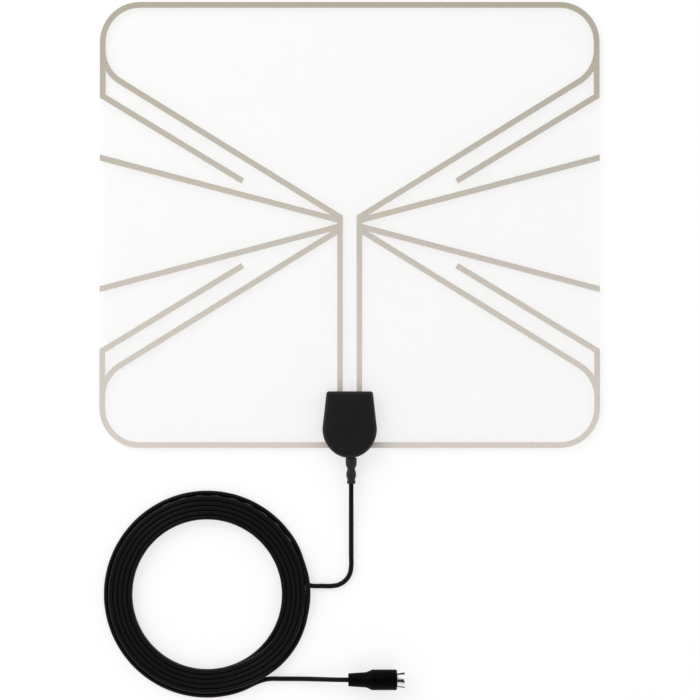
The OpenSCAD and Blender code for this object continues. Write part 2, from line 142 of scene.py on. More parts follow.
class AerialCable(bpy.types.PropertyGroup):
    diameter: bpy.props.FloatProperty(
        name="Cable Diameter", description="Over the cable's jacket",
        default=3.2 * MM, min=1 * MM, unit="LENGTH")
    outer_radius: bpy.props.FloatProperty(
        name="Winding Radius",
        description="Middle of the outermost turn of the two layers",
        default=64.3 * MM, min=20 * MM, unit="LENGTH")
    turns: bpy.props.IntProperty(
        name="Turns A Layer", description="Turns side by side in each layer",
        default=5, min=2, max=8)
    step: bpy.props.FloatProperty(
        name="Point Step", description="Angle between two points of the coil's curve",
        default=math.radians(10), subtype="ANGLE")


class AerialHousing(bpy.types.PropertyGroup):
    top_width: bpy.props.FloatProperty(
        name="Top Width", description="Width at the straight top edge",
        default=31.2 * MM, unit="LENGTH")
    width: bpy.props.FloatProperty(
        name="Width", description="Greatest width of the housing",
        default=36.4 * MM, unit="LENGTH")
    bow: bpy.props.FloatProperty(
        name="Bow", description="Height of the rounded lower end",
        default=19.6 * MM, unit="LENGTH")
    corner: bpy.props.FloatProperty(
        name="Corner", description="Radius of the two upper corners",
        default=1.8 * MM, unit="LENGTH")
    edge: bpy.props.FloatProperty(
        name="Edge", description="Radius of the front's edge",
        default=2.4 * MM, unit="LENGTH")
    crown: bpy.props.FloatProperty(
        name="Crown", description="Extra height of the domed face",
        default=0.9 * MM, unit="LENGTH")
    thickness: bpy.props.FloatProperty(
        name="Thickness", description="From the table to the top of the face",
        default=12 * MM, unit="LENGTH")
    wall: bpy.props.FloatProperty(
        name="Wall", description="Wall of the front",
        default=1.6 * MM, unit="LENGTH")


class AerialPlug(bpy.types.PropertyGroup):
    grip_radius: bpy.props.FloatProperty(
        name="Grip Radius", description="Radius of the moulded grip",
        default=6.85 * MM, unit="LENGTH")
    collar_radius: bpy.props.FloatProperty(
        name="Collar Radius", description="Outer radius of the collar at the grip",
        default=4.7 * MM, unit="LENGTH")
    mouth_radius: bpy.props.FloatProperty(
        name="Mouth Radius", description="Outer radius of the collar's splayed mouth",
        default=5.45 * MM, unit="LENGTH")
    slots: bpy.props.IntProperty(
        name="Slots", description="Slots in the collar", default=6, min=2, max=12)
    slot_width: bpy.props.FloatProperty(
        name="Slot Width", description="Width of a slot at the grip",
        default=1.45 * MM, unit="LENGTH")
    slot_mouth: bpy.props.FloatProperty(
        name="Slot Mouth", description="Width of a slot at the splayed mouth",
        default=2.5 * MM, unit="LENGTH")


class AerialColours(bpy.types.PropertyGroup):
    film: colour("Film", "The haze in the clear film", "#ecebea")
    print_far: colour("Print, Far End", "The print away from the housing", "#cac2b1")
    print_near: colour("Print, Near End", "The print at the housing", "#f3ebe2")
    housing: colour("Housing", "The two covers of the housing", "#171717")
    relief: colour("Strain Relief", "The beaded strain relief", "#242220")
    cable: colour("Cable", "The cable's jacket", "#0a0a0a")
    plug: colour("Plug", "The plug's grip", "#020202")


# ------------------------------------------------------------ nodes and materials

def add(tree, kind, inputs=None, **settings):
    """Adds a node with its settings, and sets or links each named input."""
    made = tree.nodes.new(kind)
    for name, value in settings.items():
        setattr(made, name, value)
    for name, value in (inputs or {}).items():
        if isinstance(value, bpy.types.NodeSocket):
            tree.links.new(value, made.inputs[name])
        else:
            made.inputs[name].default_value = value
    return made


def start_material(name):
    """A new empty material, its node tree and the object's coordinates in it."""
    material = bpy.data.materials.new(name)
    material.use_nodes = True
    tree = material.node_tree
    tree.nodes.clear()
    return material, tree, add(tree, "ShaderNodeTexCoord").outputs["Object"]


def end_material(material, sockets):
    """Gives a material its one Principled shader, with sockets set or linked."""
    tree = material.node_tree
    shader = add(tree, "ShaderNodeBsdfPrincipled", sockets)
    add(tree, "ShaderNodeOutputMaterial", {"Surface": shader.outputs["BSDF"]})
    return material


def per_mm(size):
    """A texture scale whose features are about this many millimetres apart."""
    return 1 / (size * MM)


def moulded(name, base, rough, ior, grain, depth, mottle=6.0, spread=0.12, **sockets):
    """Plastic, rubber, ceramic or metal with a fine surface grain.

    grain and depth are the grain's spacing and height, and mottle is the size of the
    slow change in colour and gloss, all in millimetres. spread is how far the colour
    changes either way, as a share."""
    material, tree, place = start_material(name)
    slow = add(tree, "ShaderNodeTexNoise",
               {"Vector": place, "Scale": per_mm(mottle), "Detail": 3, "Roughness": 0.55})
    fine = add(tree, "ShaderNodeTexNoise",
               {"Vector": place, "Scale": per_mm(grain), "Detail": 2, "Roughness": 0.6})
    shade = add(tree, "ShaderNodeMix",
                {"Factor": slow.outputs["Fac"],
                 "A": (*[c * (1 - spread) for c in base[:3]], 1),
                 "B": (*[min(1, c * (1 + spread)) for c in base[:3]], 1)},
                data_type="RGBA")
    gloss = add(tree, "ShaderNodeMapRange",
                {"Value": slow.outputs["Fac"], "From Min": 0.3, "From Max": 0.7,
                 "To Min": rough * 0.9, "To Max": min(1, rough * 1.12)})
    bump = add(tree, "ShaderNodeBump",
               {"Height": fine.outputs["Fac"], "Strength": 1, "Distance": depth * MM})
    return end_material(material, {
        "Base Color": shade.outputs["Result"], "Roughness": gloss.outputs["Result"],
        "Normal": bump.outputs["Normal"], "IOR": ior, **sockets})


def clear_film(tone):
    # Clear PET film, calendered: you look through it, it hazes the floor by a touch,
    # and it mirrors softly where you look along it. Rolling leaves slow waves.
    refraction = 1.57
    material, tree, place = start_material("Clear PET film")
    waves = add(tree, "ShaderNodeTexNoise",
                {"Vector": place, "Scale": per_mm(70), "Detail": 2})
    haze = add(tree, "ShaderNodeTexNoise",
               {"Vector": place, "Scale": per_mm(9), "Detail": 4, "Roughness": 0.7})
    shade = add(tree, "ShaderNodeMix",
                {"Factor": haze.outputs["Fac"], "A": (*tone, 1), "B": linear("#f9f8f7")},
                data_type="RGBA")
    gloss = add(tree, "ShaderNodeMapRange",
                {"Value": haze.outputs["Fac"], "To Min": 0.07, "To Max": 0.16})
    facing = add(tree, "ShaderNodeFresnel", {"IOR": refraction})
    cover = add(tree, "ShaderNodeMapRange",
                {"Value": facing.outputs["Fac"], "From Min": 0.04, "From Max": 0.9,
                 "To Min": 0.03, "To Max": 0.45})
    bump = add(tree, "ShaderNodeBump",
               {"Height": waves.outputs["Fac"], "Strength": 1, "Distance": 0.35 * MM})
    return end_material(material, {
        "Base Color": shade.outputs["Result"], "Roughness": gloss.outputs["Result"],
        "Alpha": cover.outputs["Result"], "Normal": bump.outputs["Normal"],
        "IOR": refraction})


def printed_element(far, near):
    # Silver-grey conductive ink, screen printed: matt, a little warmer and darker at
    # the film's far end, with the screen's fine mesh left in its surface.
    material, tree, place = start_material("Printed conductive ink")
    along = add(tree, "ShaderNodeSeparateXYZ", {"Vector": place}).outputs["Y"]
    fade = add(tree, "ShaderNodeMapRange",
               {"Value": along, "From Min": PRINT_NEAR * MM, "From Max": PRINT_FAR * MM})
    pigment = add(tree, "ShaderNodeTexNoise",
                  {"Vector": place, "Scale": per_mm(1.6), "Detail": 4, "Roughness": 0.7})
    # 0.35 mm is coarser than a real screen's mesh, so that it shows
    weave = add(tree, "ShaderNodeTexVoronoi",
                {"Vector": place, "Scale": per_mm(0.35)})
    shade = add(tree, "ShaderNodeMix",
                {"Factor": fade.outputs["Result"], "A": (*near, 1), "B": (*far, 1)},
                data_type="RGBA")
    speckle = add(tree, "ShaderNodeMapRange",
                  {"Value": pigment.outputs["Fac"], "From Min": 0.3, "From Max": 0.7,
                   "To Min": 0.95, "To Max": 1.04})
    tint = add(tree, "ShaderNodeVectorMath",
               {"Vector": shade.outputs["Result"], "Scale": speckle.outputs["Result"]},
               operation="SCALE")
    gloss = add(tree, "ShaderNodeMapRange",
                {"Value": pigment.outputs["Fac"], "To Min": 0.5, "To Max": 0.7})
    bump = add(tree, "ShaderNodeBump",
               {"Height": weave.outputs["Distance"], "Strength": 1,
                "Distance": 0.012 * MM})
    return end_material(material, {
        "Base Color": tint.outputs["Vector"], "Roughness": gloss.outputs["Result"],
        "Normal": bump.outputs["Normal"], "IOR": 1.5, "Specular IOR Level": 0.2})


def woven_braid():
    # Tinned copper braid: bright fine wires that cross at an angle, 0.5 mm apart.
    material, tree, place = start_material("Tinned copper braid")
    turned_places = [add(tree, "ShaderNodeMapping",
                         {"Vector": place, "Rotation": (0, 0, math.radians(angle))})
                     for angle in (35, -35)]
    bands = [add(tree, "ShaderNodeTexWave",
                 {"Vector": turn.outputs["Vector"], "Scale": per_mm(0.5 * math.pi)})
             for turn in turned_places]
    crossing = add(tree, "ShaderNodeMath",
                   {0: bands[0].outputs["Fac"], 1: bands[1].outputs["Fac"]},
                   operation="MAXIMUM")
    shade = add(tree, "ShaderNodeMix",
                {"Factor": crossing.outputs["Value"], "A": linear("#6e6c68"),
                 "B": linear("#d6d4cf")}, data_type="RGBA")
    bump = add(tree, "ShaderNodeBump",
               {"Height": crossing.outputs["Value"], "Strength": 1,
                "Distance": 0.05 * MM})
    return end_material(material, {
        "Base Color": shade.outputs["Result"], "Normal": bump.outputs["Normal"],
        "Metallic": 1.0, "Roughness": 0.32})


def solder_mask():
    # Green solder mask over glass cloth: glossy, with the cloth's 0.6 mm weave just
    # showing through it.
    material, tree, place = start_material("Solder mask on glass epoxy")
    weave = add(tree, "ShaderNodeTexBrick",
                {"Vector": place, "Scale": per_mm(1.2), "Color1": linear("#12603a"),
                 "Color2": linear("#105a35"), "Mortar": linear("#0c4629"),
                 "Mortar Size": 0.06, "Brick Width": 0.5, "Row Height": 0.5})
    bump = add(tree, "ShaderNodeBump",
               {"Height": weave.outputs["Fac"], "Strength": 1, "Distance": 0.01 * MM})
    return end_material(material, {
        "Base Color": weave.outputs["Color"], "Normal": bump.outputs["Normal"],
        "IOR": 1.52, "Roughness": 0.28})


def cable_jacket(base):
    # Extruded PVC jacket: satin, with slow changes of gloss from handling and the
    # faint pulled lines of the die, drawn 0.9 mm apart so that they show.
    material, tree, place = start_material("Extruded PVC jacket")
    handled = add(tree, "ShaderNodeTexNoise",
                  {"Vector": place, "Scale": per_mm(14), "Detail": 3})
    lines = add(tree, "ShaderNodeTexNoise",
                {"Vector": place, "Scale": per_mm(0.9), "Detail": 3, "Roughness": 0.6})
    shade = add(tree, "ShaderNodeMix",
                {"Factor": handled.outputs["Fac"], "A": (*base, 1),
                 "B": (*[c * 1.5 for c in base[:3]], 1)}, data_type="RGBA")
    gloss = add(tree, "ShaderNodeMapRange",
                {"Value": handled.outputs["Fac"], "From Min": 0.3, "From Max": 0.7,
                 "To Min": 0.36, "To Max": 0.5})
    bump = add(tree, "ShaderNodeBump",
               {"Height": lines.outputs["Fac"], "Strength": 1, "Distance": 0.012 * MM})
    return end_material(material, {
        "Base Color": shade.outputs["Result"], "Roughness": gloss.outputs["Result"],
        "Normal": bump.outputs["Normal"], "IOR": 1.53, "Specular IOR Level": 0.13})


# --------------------------------------------------------------- making pieces

def new_object(name, data):
    """An object in the scene, at its origin."""
    made = bpy.data.objects.new(name, data)
    bpy.context.scene.collection.objects.link(made)
    return made


def new_mesh(name, bm):
    """A mesh of what bm holds, which is freed."""
    mesh = bpy.data.meshes.new(name)
    bm.to_mesh(mesh)
    bm.free()
    return mesh


def finish_piece(name, bm, material, replaced):
    """Makes a closed mesh drawn in millimetres a piece that stands for CAD nodes."""
    bmesh.ops.remove_doubles(bm, verts=bm.verts, dist=SAME_POINT)
    bmesh.ops.recalc_face_normals(bm, faces=bm.faces)
    bmesh.ops.scale(bm, vec=(MM, MM, MM), verts=bm.verts)
    mesh = new_mesh(name, bm)
    mesh.shade_smooth()
    mesh.set_sharp_from_angle(angle=CREASE)
    mesh.materials.append(material)
    piece = new_object(name, mesh)
    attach(piece, BODY)
    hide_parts(*replaced)
    return piece


def skin(bm, rings):
    """Joins rings of equally many points by extruding one to the next, and fills both
    ends. Returns the verts of each ring."""
    verts = [bm.verts.new(p) for p in rings[0]]
    edges = [bm.edges.new(pair) for pair in zip(verts, verts[1:] + verts[:1])]
    bmesh.ops.edgeloop_fill(bm, edges=edges)
    made = [verts]
    for points in rings[1:]:
        place = {v.co.to_tuple(5): i for i, v in enumerate(verts)}
        grown = bmesh.ops.extrude_edge_only(bm, edges=edges)["geom"]
        fresh = {g for g in grown if isinstance(g, bmesh.types.BMVert)}
        edges = [g for g in grown if isinstance(g, bmesh.types.BMEdge)
                 and fresh.issuperset(g.verts)]
        verts = sorted(fresh, key=lambda v: place[v.co.to_tuple(5)])
        for vert, point in zip(verts, points):
            vert.co = point
        made.append(verts)
    bmesh.ops.edgeloop_fill(bm, edges=edges)
    return made


def spin_round(bm, points, origin, axis, steps, closed=False):
    """Spins a line of points round an axis, and merges where it meets itself."""
    verts = [bm.verts.new(p) for p in points]
    pairs = list(zip(verts, verts[1:]))
    if closed:
        pairs.append((verts[-1], verts[0]))
    edges = [bm.edges.new(pair) for pair in pairs]
    bmesh.ops.spin(bm, geom=verts + edges, cent=origin, axis=axis, dvec=(0, 0, 0),
                   angle=FULL_TURN, steps=steps, use_merge=True, use_duplicate=False)


def turned(bm, profile, origin, axis, closed=False):
    """Turns a profile of (along, radius) points round a level axis through origin."""
    points = [Vector(origin) + along * Vector(axis) + Vector((0, 0, radius))
              for along, radius in profile]
    spin_round(bm, points, origin, axis, ROUND, closed)


def carve(bm, cutter):
    """Cuts closed shapes out of a closed mesh with Blender's exact solver."""
    bodies = []
    for label, source in (("carved", bm), ("cutter", cutter)):
        bmesh.ops.remove_doubles(source, verts=source.verts, dist=SAME_POINT)
        bmesh.ops.recalc_face_normals(source, faces=source.faces)
        bodies.append(new_object(label, new_mesh(label, source)))
    cut = bodies[0].modifiers.new("Cut", "BOOLEAN")
    cut.object = bodies[1]
    cut.operation = "DIFFERENCE"
    cut.solver = "EXACT"
    graph = bpy.context.evaluated_depsgraph_get()
    result = bmesh.new()
    result.from_mesh(bodies[0].evaluated_get(graph).to_mesh())
    for body in bodies:
        mesh = body.data
        bpy.data.objects.remove(body)
        bpy.data.meshes.remove(mesh)
    return result


def arc(centre, radius, start, end, steps):
    """(along, radius) points of an arc, angles in degrees from the radius direction."""
    angles = [math.radians(start + (end - start) * i / steps) for i in range(steps + 1)]
    return [(centre[0] + radius * math.sin(angle), centre[1] + radius * math.cos(angle))
            for angle in angles]


def round_coil(x, y, radius, angle, z):
    """A point on a circle whose middle is x, y from the coil's."""
    return Vector((COIL_MID[0] + x + radius * math.cos(angle),
                   COIL_MID[1] + y + radius * math.sin(angle), z))


def smooth(t):
    """Eases from 0 to 1."""
    t = min(1, max(0, t))
    return t * t * (3 - 2 * t)


# -------------------------------------------------------------------- operators

class AERIAL_OT_stage(bpy.types.Operator):
    """Sets up the camera, the pale floor and the soft light"""
    bl_idname = "aerial.stage"
    bl_label = "Stage"

    def execute(self, context):
        values = context.scene.aerial_stage
        middle = Vector(VIEW_MIDDLE) * MM
        self.add_camera(context.scene, values, middle)
        self.add_floor(values)
        self.add_surround(context.scene, values)
        self.add_lamp(values, middle)
        return {"FINISHED"}

    def add_camera(self, scene, values, middle):
        """Looks down on the object from almost straight above."""
        away = Vector((0, -math.sin(values.lean), math.cos(values.lean)))
        lens = bpy.data.cameras.new("Camera")
        lens.lens = values.lens
        lens.sensor_width = 36
        lens.clip_end = 20
        camera = new_object("Camera", lens)
        camera.location = middle + values.distance * away
        camera.rotation_euler = away.to_track_quat("Z", "Y").to_euler()
        scene.camera = camera
        scene.view_settings.view_transform = "Standard"

    def add_floor(self, values):
        """Lays the table's top just under the object."""
        reach, drop = 3.0, 0.0002
        # Opal acrylic, lit from beneath as a product table is: matt and even white
        opal = end_material(start_material("Opal acrylic table")[0], {
            "Base Color": (*values.floor_colour, 1), "Roughness": 0.8, "IOR": 1.49,
            "Specular IOR Level": 0.1, "Emission Color": (1, 1, 1, 1),
            "Emission Strength": values.glow})
        bm = bmesh.new()
        bmesh.ops.create_grid(bm, x_segments=2, y_segments=2, size=reach,
                              matrix=Matrix.Translation((0, 0, -drop)))
        mesh = new_mesh("Floor", bm)
        mesh.materials.append(opal)
        floor = new_object("Floor", mesh)

    def add_surround(self, scene, values):
        """Bright all round, brightest low down where the walls meet the table, and
        darker straight above, as under a studio's camera."""
        world = bpy.data.worlds.new("Soft surround")
        world.use_nodes = True
        tree = world.node_tree
        tree.nodes.clear()
        way = add(tree, "ShaderNodeTexCoord").outputs["Generated"]
        # 0 towards the skyline and 1 straight up
        height = add(tree, "ShaderNodeSeparateXYZ", {"Vector": way}).outputs["Z"]
        level = add(tree, "ShaderNodeMapRange",
                    {"Value": height, "From Min": 0.72, "From Max": 0.92,
                     "To Min": values.sky, "To Max": values.overhead},
                    interpolation_type="SMOOTHSTEP")
        low = add(tree, "ShaderNodeMapRange",
                  {"Value": height, "From Min": 0.05, "From Max": 0.3,
                   "To Min": values.horizon, "To Max": values.overhead},
                  interpolation_type="SMOOTHSTEP")
        bright = add(tree, "ShaderNodeMath",
                     {0: level.outputs["Result"], 1: low.outputs["Result"]},
                     operation="MAXIMUM")
        sky = add(tree, "ShaderNodeBackground",
                  {"Color": (1, 1, 1, 1), "Strength": bright.outputs["Value"]})
        add(tree, "ShaderNodeOutputWorld", {"Surface": sky.outputs["Background"]})
        scene.world = world

    def add_lamp(self, values, middle):
        """Hangs a large soft lamp at the upper left."""
        lamp = bpy.data.lights.new("Key", "AREA")
        lamp.energy = values.key
        lamp.size = 0.9
        key = new_object("Key", lamp)
        key.location = (-0.9, 0.7, 0.85)
        key.rotation_euler = (key.location - middle).to_track_quat("Z", "Y").to_euler()


class AERIAL_OT_cable(bpy.types.Operator):
    """Lays the cable from the strain relief through its coil to the plug"""
    bl_idname = "aerial.cable"
    bl_label = "Cable"

    def route(self, values):
        """The cable's middle line in millimetres, anticlockwise round the coil."""
        pitch = values.diameter / MM
        low = pitch / 2
        high = low + pitch
        outer = values.outer_radius / MM
        turns = values.turns
        points = [Vector(p) for p in LEAD_POINTS]

        # A short bend off the straight lead onto the first turn: its radius, and its
        # middle as seen from the coil's
        bend, bend_x, bend_y = 8.0, 71.1, 13.4
        for turn in range(0, 101, 20):
            angle = math.radians(-90 - turn)
            points.append(round_coil(bend_x, bend_y, bend, angle, low))

        # Angles are in degrees round the coil, from the first turn's start. Each turn
        # of the lower layer shifts inwards over span, the cable climbs on the innermost
        # one, each turn of the upper layer shifts outwards, and the last drops to the
        # table. The hump carries it over the lead.
        first, last = 16.0, 299.0 + 360 * 2 * turns
        shift_in, shift_out, span = 322.0, 282.0, 50.0
        climb = shift_in + 360 * (turns - 1)
        drop = shift_out + 360 * (2 * turns - 1)
        hump, hump_half = 5.0 + 360 * 2 * turns, 28.0
        count = round((last - first) / math.degrees(values.step))
        for i in range(count + 1):
            angle = first + (last - first) * i / count
            radius, z = outer, low
            for k in range(turns - 1):
                radius -= pitch * smooth((angle - shift_in - 360 * k) / span)
                radius += pitch * smooth((angle - shift_out - 360 * (turns + k)) / span)
            rise = smooth((angle - climb) / span)
            z += pitch * math.sqrt(1 - (1 - rise) ** 2)
            fall = smooth((angle - drop) / span)
            radius += pitch * fall
            z -= pitch * (1 - math.sqrt(1 - fall ** 2))
            over = abs(angle - hump) / hump_half
            if over < 1:
                # lifted over the lead, it leans closer to the turns beside it
                lift = pitch * math.cos(math.pi / 2 * over) ** 2
                z += lift
                nearer = min(lift, pitch - lift)
                radius -= pitch - math.sqrt(pitch ** 2 - nearer ** 2)
            points.append(round_coil(0, 0, radius, math.radians(angle), z))
        return points + [Vector(p) for p in PLUG_POINTS]

    def execute(self, context):
        values = context.scene.aerial_cable
        points = [p * MM for p in self.route(values)]
        curve = bpy.data.curves.new("cable", "CURVE")
        curve.dimensions = "3D"
        curve.twist_mode = "MINIMUM"
        curve.bevel_depth = values.diameter / 2
        curve.bevel_resolution = 7
        curve.use_fill_caps = True
        curve.resolution_u = 5
        line = curve.splines.new("BEZIER")
        line.bezier_points.add(len(points) - 1)
        for knot, point in zip(line.bezier_points, points):
            knot.co = point
            knot.handle_left_type = knot.handle_right_type = "AUTO"
        curve.materials.append(cable_jacket(context.scene.aerial_colours.cable))
        cable = new_object("cable", curve)
        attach(cable, BODY)
        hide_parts("cable_lead", "cable_coil", "plug_lead")
        return {"FINISHED"}


class AERIAL_OT_housing(bpy.types.Operator):
    """Models the front of the housing as one smooth moulding with its posts inside"""
    bl_idname = "aerial.housing"
    bl_label = "Housing Front"

    def outline(self, values, inset, z):
        """The housing's outline drawn in by inset, at a height, anticlockwise."""
        a = values.width / MM / 2 - inset
        b = values.bow / MM - inset
        r = max(values.corner / MM - inset, 0.2)
        x = values.top_width / MM / 2 - inset - r
        y = HOUSE_TOP - inset - r
        lean = math.atan2(a - x - r, y - BOW_MID)
        steps, top_steps, bow_steps = 8, 6, 48
        corner = [(x + r * math.cos(t), y + r * math.sin(t))
                  for t in (lean + (math.pi / 2 - lean) * i / steps
                            for i in range(steps + 1))]
        other = [(-px, py) for px, py in reversed(corner)]
        top = [(x * (1 - 2 * i / top_steps), HOUSE_TOP - inset)
               for i in range(1, top_steps)]
        side = [(corner[0][0] + (a - corner[0][0]) * i / steps,
                 corner[0][1] + (BOW_MID - corner[0][1]) * i / steps)
                for i in range(1, steps)]
        bow = [(a * math.cos(math.pi + math.pi * i / bow_steps),
                BOW_MID + b * math.sin(math.pi + math.pi * i / bow_steps))
               for i in range(bow_steps + 1)]
        points = corner + top + other + [(-px, py) for px, py in side] + bow
        return [(px, py, z) for px, py in points + side[::-1]]

    def execute(self, context):
        bm = self.shell(context.scene.aerial_housing)
        bm = self.cut_relief_slot(bm)
        for x, y in BOSSES:
            self.boss(bm, x, y)
        self.board_posts(bm)
        # Spark-textured ABS: satin black, with a 0.5 mm grain that dulls the gloss
        plastic = moulded("Spark-textured ABS", context.scene.aerial_colours.housing,
                          0.42, 1.54, 0.5, 0.04, **{"Specular IOR Level": 0.25})
        finish_piece("housing_front_moulding", bm, plastic,
                     ["housing_front"])
        return {"FINISHED"}

    def shell(self, values):
        """The hollow moulding, from its ceiling inside, round its lip and over its
        rounded edge to the domed face."""
        edge = values.edge / MM
        crown = values.crown / MM
        wall = values.wall / MM
        edge_z = (values.thickness - values.crown) / MM
        ceiling = edge_z - wall
        level = 2.0             # half the width that stays level along the middle
        rise = values.top_width / MM / 2 - edge - level
        lip = 0.25              # small chamfer that draws the parting line
        steps, passes = 10, 12
        lean = 90 - math.degrees(math.atan(2 * crown / rise))
        rings = [(wall, ceiling), (wall, FRONT_Z), (lip, FRONT_Z), (0, FRONT_Z + lip)]
        for i in range(steps + 1):
            angle = math.radians(lean * i / steps)
            rings.append((edge * (1 - math.cos(angle)),
                          edge_z - edge + edge * math.sin(angle)))
        crowned = len(rings)
        for i in range(1, steps + 1):
            f = i / steps
            rings.append((edge + rise * f, edge_z + crown * (1 - (1 - f) ** 2)))

        bm = bmesh.new()
        made = skin(bm, [self.outline(values, inset, z) for inset, z in rings])
        face = [v for ring in made[crowned:] for v in ring]
        for _ in range(passes):
            bmesh.ops.smooth_vert(bm, verts=face, factor=0.5, use_axis_z=True)
        return bm

    def cut_relief_slot(self, bm):
        """The slot for the strain relief's groove, open towards the back."""
        depth, height, middle_z = 4, 3, 3.5
        cutter = bmesh.new()
        bmesh.ops.create_cone(
            cutter, cap_ends=True, segments=ROUND, radius1=RELIEF_SLOT,
            radius2=RELIEF_SLOT, depth=depth,
            matrix=Matrix.Translation((CABLE_X, HOUSE_LOW + 1, CABLE_Z))
            @ Matrix.Rotation(math.pi / 2, 4, "X"))
        bm = carve(bm, cutter)
        cutter = bmesh.new()
        bmesh.ops.create_cube(
            cutter, size=1, matrix=Matrix.Translation((CABLE_X, HOUSE_LOW + 1, middle_z))
            @ Matrix.Diagonal((2 * RELIEF_SLOT, depth, height, 1)))
        return carve(bm, cutter)

    def boss(self, bm, x, y):
        """A screw boss with its blind bore, spun round its own axis."""
        radius, bore, foot, bore_top = 2.5, 0.95, 2.05, 7.5
        profile = [(0, bore_top), (bore, bore_top), (bore, foot), (radius, foot),
                   (radius, POST_TOP), (0, POST_TOP)]
        spin_round(bm, [(x + r, y, z) for r, z in profile], (x, y, 0), (0, 0, 1), 32)

    def board_posts(self, bm):
        """The two posts that hold the board down."""
        post_x, post_y, radius = 9.3, -126.8, 1.1
        low = BOARD_TOP + SEAT
        for side in (-1, 1):
            bmesh.ops.create_cone(
                bm, cap_ends=True, segments=24, radius1=radius, radius2=radius,
                depth=POST_TOP - low,
                matrix=Matrix.Translation((side * post_x, post_y, (POST_TOP + low) / 2)))


class AERIAL_OT_relief(bpy.types.Operator):
    """Models the beaded strain relief between the housing and the cable"""
    bl_idname = "aerial.relief"
    bl_label = "Strain Relief"

    def execute(self, context):
        length = HOUSE_LOW - RELIEF_END
        bore, neck, groove, inside = 1.65, 2.6, 2.9, 2.4
        tip, second, first = 0.12 * length, 0.36 * length, 0.4 * length
        tip_crest, second_crest, first_crest = 2.9, 3.3, 3.7
        gap = (length - tip - second - first) / 2
        clear, chamfer = 0.06, 0.2

        def bead(start, long, crest, until=1.0, steps=14):
            """Points over a bead that is round between two necks, or part of it."""
            bulge = crest - neck
            big = (long * long / 4 + bulge * bulge) / (2 * bulge)
            shares = [until * i / steps for i in range(steps + 1)]
            return [(start + long * share,
                     crest - big + math.sqrt(big ** 2 - (long * (share - 0.5)) ** 2))
                    for share in shares]

        end = length - clear    # just short of the housing
        profile = [(0, bore), *bead(0, tip, tip_crest),
                   *bead(tip + gap, second, second_crest),
                   *bead(length - first, first, first_crest, until=0.5),
                   (length - 0.25, first_crest), (end, first_crest - chamfer),
                   (end, groove), (length + inside, groove), (length + inside, bore)]
        bm = bmesh.new()
        turned(bm, profile, (CABLE_X, RELIEF_END, CABLE_Z), (0, 1, 0), closed=True)
        # Soft PVC: matt, warm black, with a moulded grain of 0.6 mm
        rubber = moulded("Soft moulded PVC", context.scene.aerial_colours.relief,
                         0.55, 1.52, 0.6, 0.03, **{"Specular IOR Level": 0.3})
        finish_piece("strain_relief_moulding", bm, rubber, ["strain_relief"])
        return {"FINISHED"}


